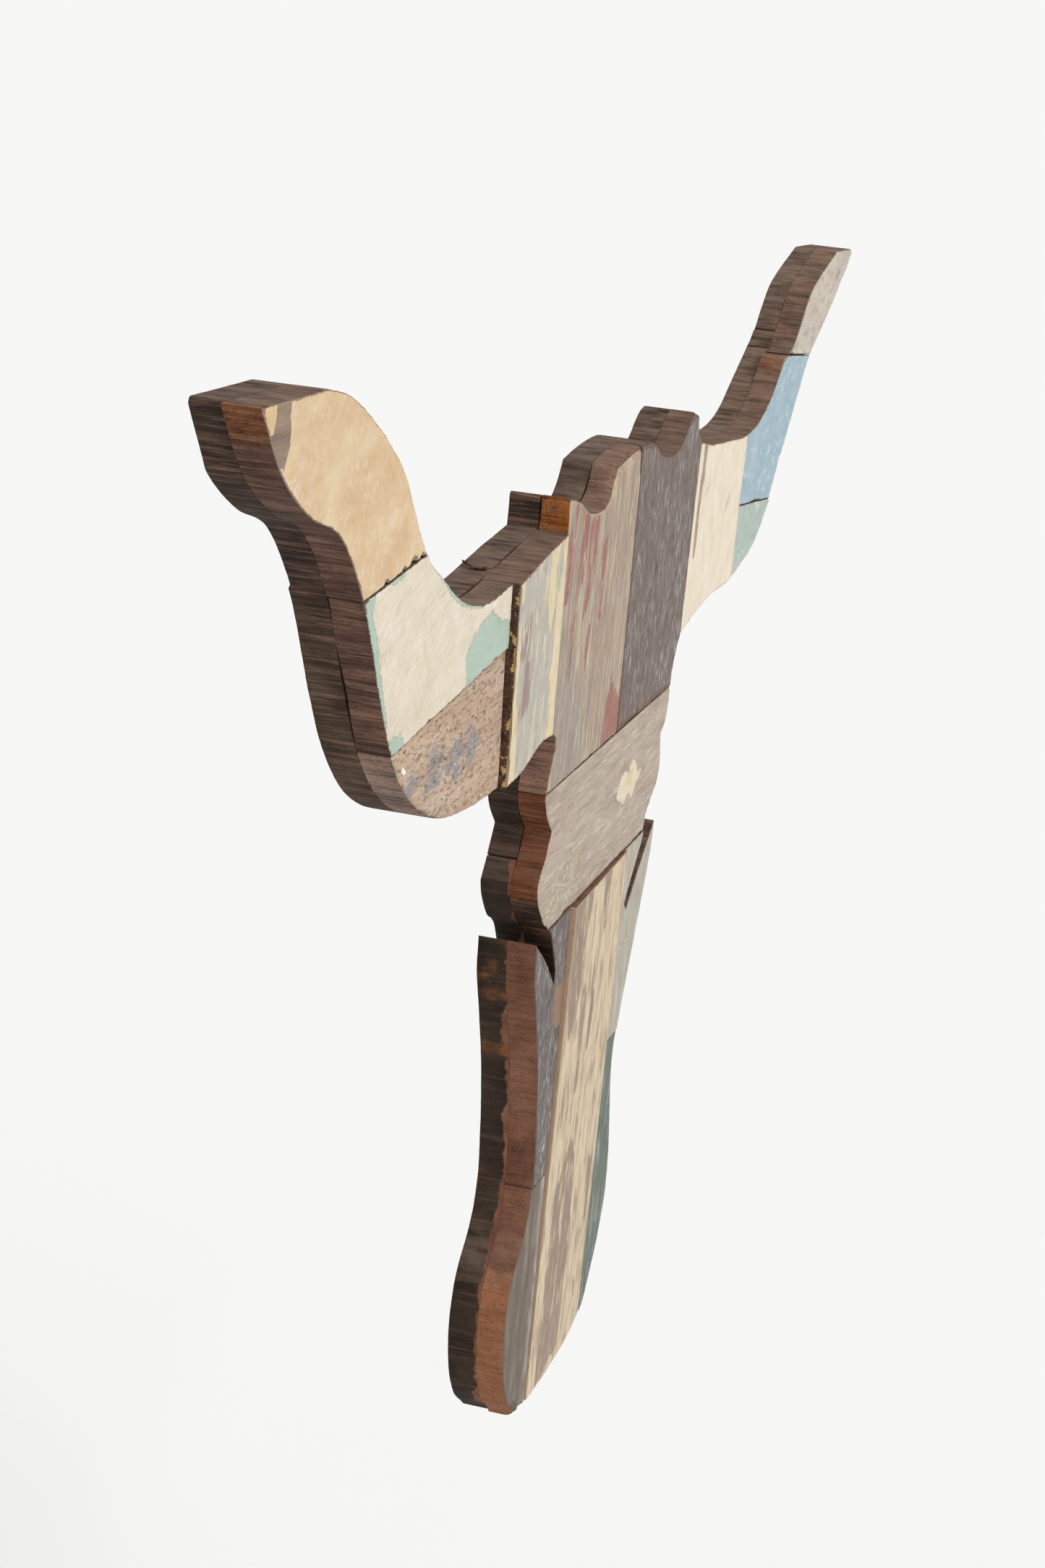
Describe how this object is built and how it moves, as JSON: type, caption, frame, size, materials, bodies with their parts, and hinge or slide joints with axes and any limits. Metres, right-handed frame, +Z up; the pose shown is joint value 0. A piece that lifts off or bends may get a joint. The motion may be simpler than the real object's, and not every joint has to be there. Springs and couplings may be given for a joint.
{
  "type": "wall plaque",
  "caption": "Longhorn skull shaped wall plaque of painted reclaimed planks on dark backing boards, hung by two D-ring straps.",
  "frame": {"origin": "on the centre line, on the back face of the lower head board, 332 mm above the lower end of the muzzle", "axes": "+X to the viewer's right as seen from the front, +Z up, +Y towards the wall; the painted faces look along -Y"},
  "size_m": [1.004, 0.0364, 0.5445],
  "materials": {
    "paint_buff": "old worn paint or weathered timber, matte",
    "paint_cream_mint": "old worn paint or weathered timber, matte",
    "bare_brown_grey": "old worn paint or weathered timber, matte",
    "paint_cream_blue": "old worn paint or weathered timber, matte",
    "paint_red_olive": "old worn paint or weathered timber, matte",
    "paint_purple_grey": "old worn paint or weathered timber, matte",
    "paint_ivory": "old worn paint or weathered timber, matte",
    "paint_light_blue": "old worn paint or weathered timber, matte",
    "paint_mint": "old worn paint or weathered timber, matte",
    "paint_chalk": "old worn paint or weathered timber, matte",
    "weathered_beige": "old worn paint or weathered timber, matte",
    "paint_grey_blue": "old worn paint or weathered timber, matte",
    "paint_grey_olive": "old worn paint or weathered timber, matte",
    "paint_worn_cream": "old worn paint or weathered timber, matte",
    "paint_pale_mint": "old worn paint or weathered timber, matte",
    "paint_green_grey": "old worn paint or weathered timber, matte",
    "dark_timber": "bare, dark brown, with saw marks",
    "yellow_zinc": "yellow zinc plated, satin",
    "bright_zinc": "zinc plated, satin"
  },
  "bodies": {
    "plaque": {"plank_left_horn_tip": "paint_buff", "plank_left_horn_middle": "paint_cream_mint", "plank_left_horn_root": "bare_brown_grey", "plank_left_cheek": "paint_cream_blue", "plank_crown_left": "paint_red_olive", "plank_crown_right": "paint_purple_grey", "plank_right_cheek": "paint_ivory", "plank_right_horn_middle": "paint_light_blue", "plank_right_horn_root": "paint_mint", "plank_right_horn_tip": "paint_chalk", "plank_brow": "weathered_beige", "plank_muzzle_left_upper": "paint_grey_blue", "plank_muzzle_left_lower": "paint_grey_olive", "plank_muzzle_centre": "paint_worn_cream", "plank_muzzle_right_upper": "paint_pale_mint", "plank_muzzle_right_lower": "paint_green_grey", "board_left_horn_outer": "dark_timber", "board_left_horn_inner": "dark_timber", "board_head_upper": "dark_timber", "board_head_lower": "dark_timber", "board_right_horn_inner": "dark_timber", "board_right_horn_outer": "dark_timber", "board_muzzle_left": "dark_timber", "board_muzzle_right": "dark_timber", "screw_left_horn_1": "yellow_zinc", "screw_left_horn_2": "yellow_zinc", "screw_left_horn_3": "yellow_zinc", "screw_left_horn_4": "yellow_zinc", "screw_left_horn_5": "yellow_zinc", "screw_head_1": "yellow_zinc", "screw_head_2": "yellow_zinc", "screw_head_3": "yellow_zinc", "screw_head_4": "yellow_zinc", "screw_head_5": "yellow_zinc", "screw_head_6": "yellow_zinc", "screw_head_7": "yellow_zinc", "screw_head_8": "yellow_zinc", "screw_brow_1": "yellow_zinc", "screw_brow_2": "yellow_zinc", "screw_right_horn_1": "yellow_zinc", "screw_right_horn_2": "yellow_zinc", "screw_right_horn_3": "yellow_zinc", "screw_right_horn_4": "yellow_zinc", "screw_right_horn_5": "yellow_zinc", "screw_muzzle_1": "yellow_zinc", "screw_muzzle_2": "yellow_zinc", "screw_muzzle_3": "yellow_zinc", "screw_muzzle_4": "yellow_zinc", "screw_muzzle_5": "yellow_zinc", "screw_muzzle_6": "yellow_zinc", "hanger_strap_left": "bright_zinc", "hanger_screw_left_1": "bright_zinc", "hanger_screw_left_2": "bright_zinc", "hanger_strap_right": "bright_zinc", "hanger_screw_right_1": "bright_zinc", "hanger_screw_right_2": "bright_zinc"},
    "ring_left": {"hanger_ring_left": "bright_zinc"},
    "ring_right": {"hanger_ring_right": "bright_zinc"}
  },
  "joints": [
    {"name": "ring_left_swing", "type": "hinge", "parent": "plaque", "child": "ring_left", "pos_m": [-0.12, 0.00275, 0.1], "axis": [1, 0, 0], "range_deg": [0, 168]},
    {"name": "ring_right_swing", "type": "hinge", "parent": "plaque", "child": "ring_right", "pos_m": [0.12, 0.00275, 0.1], "axis": [1, 0, 0], "range_deg": [0, 168]}
  ]
}
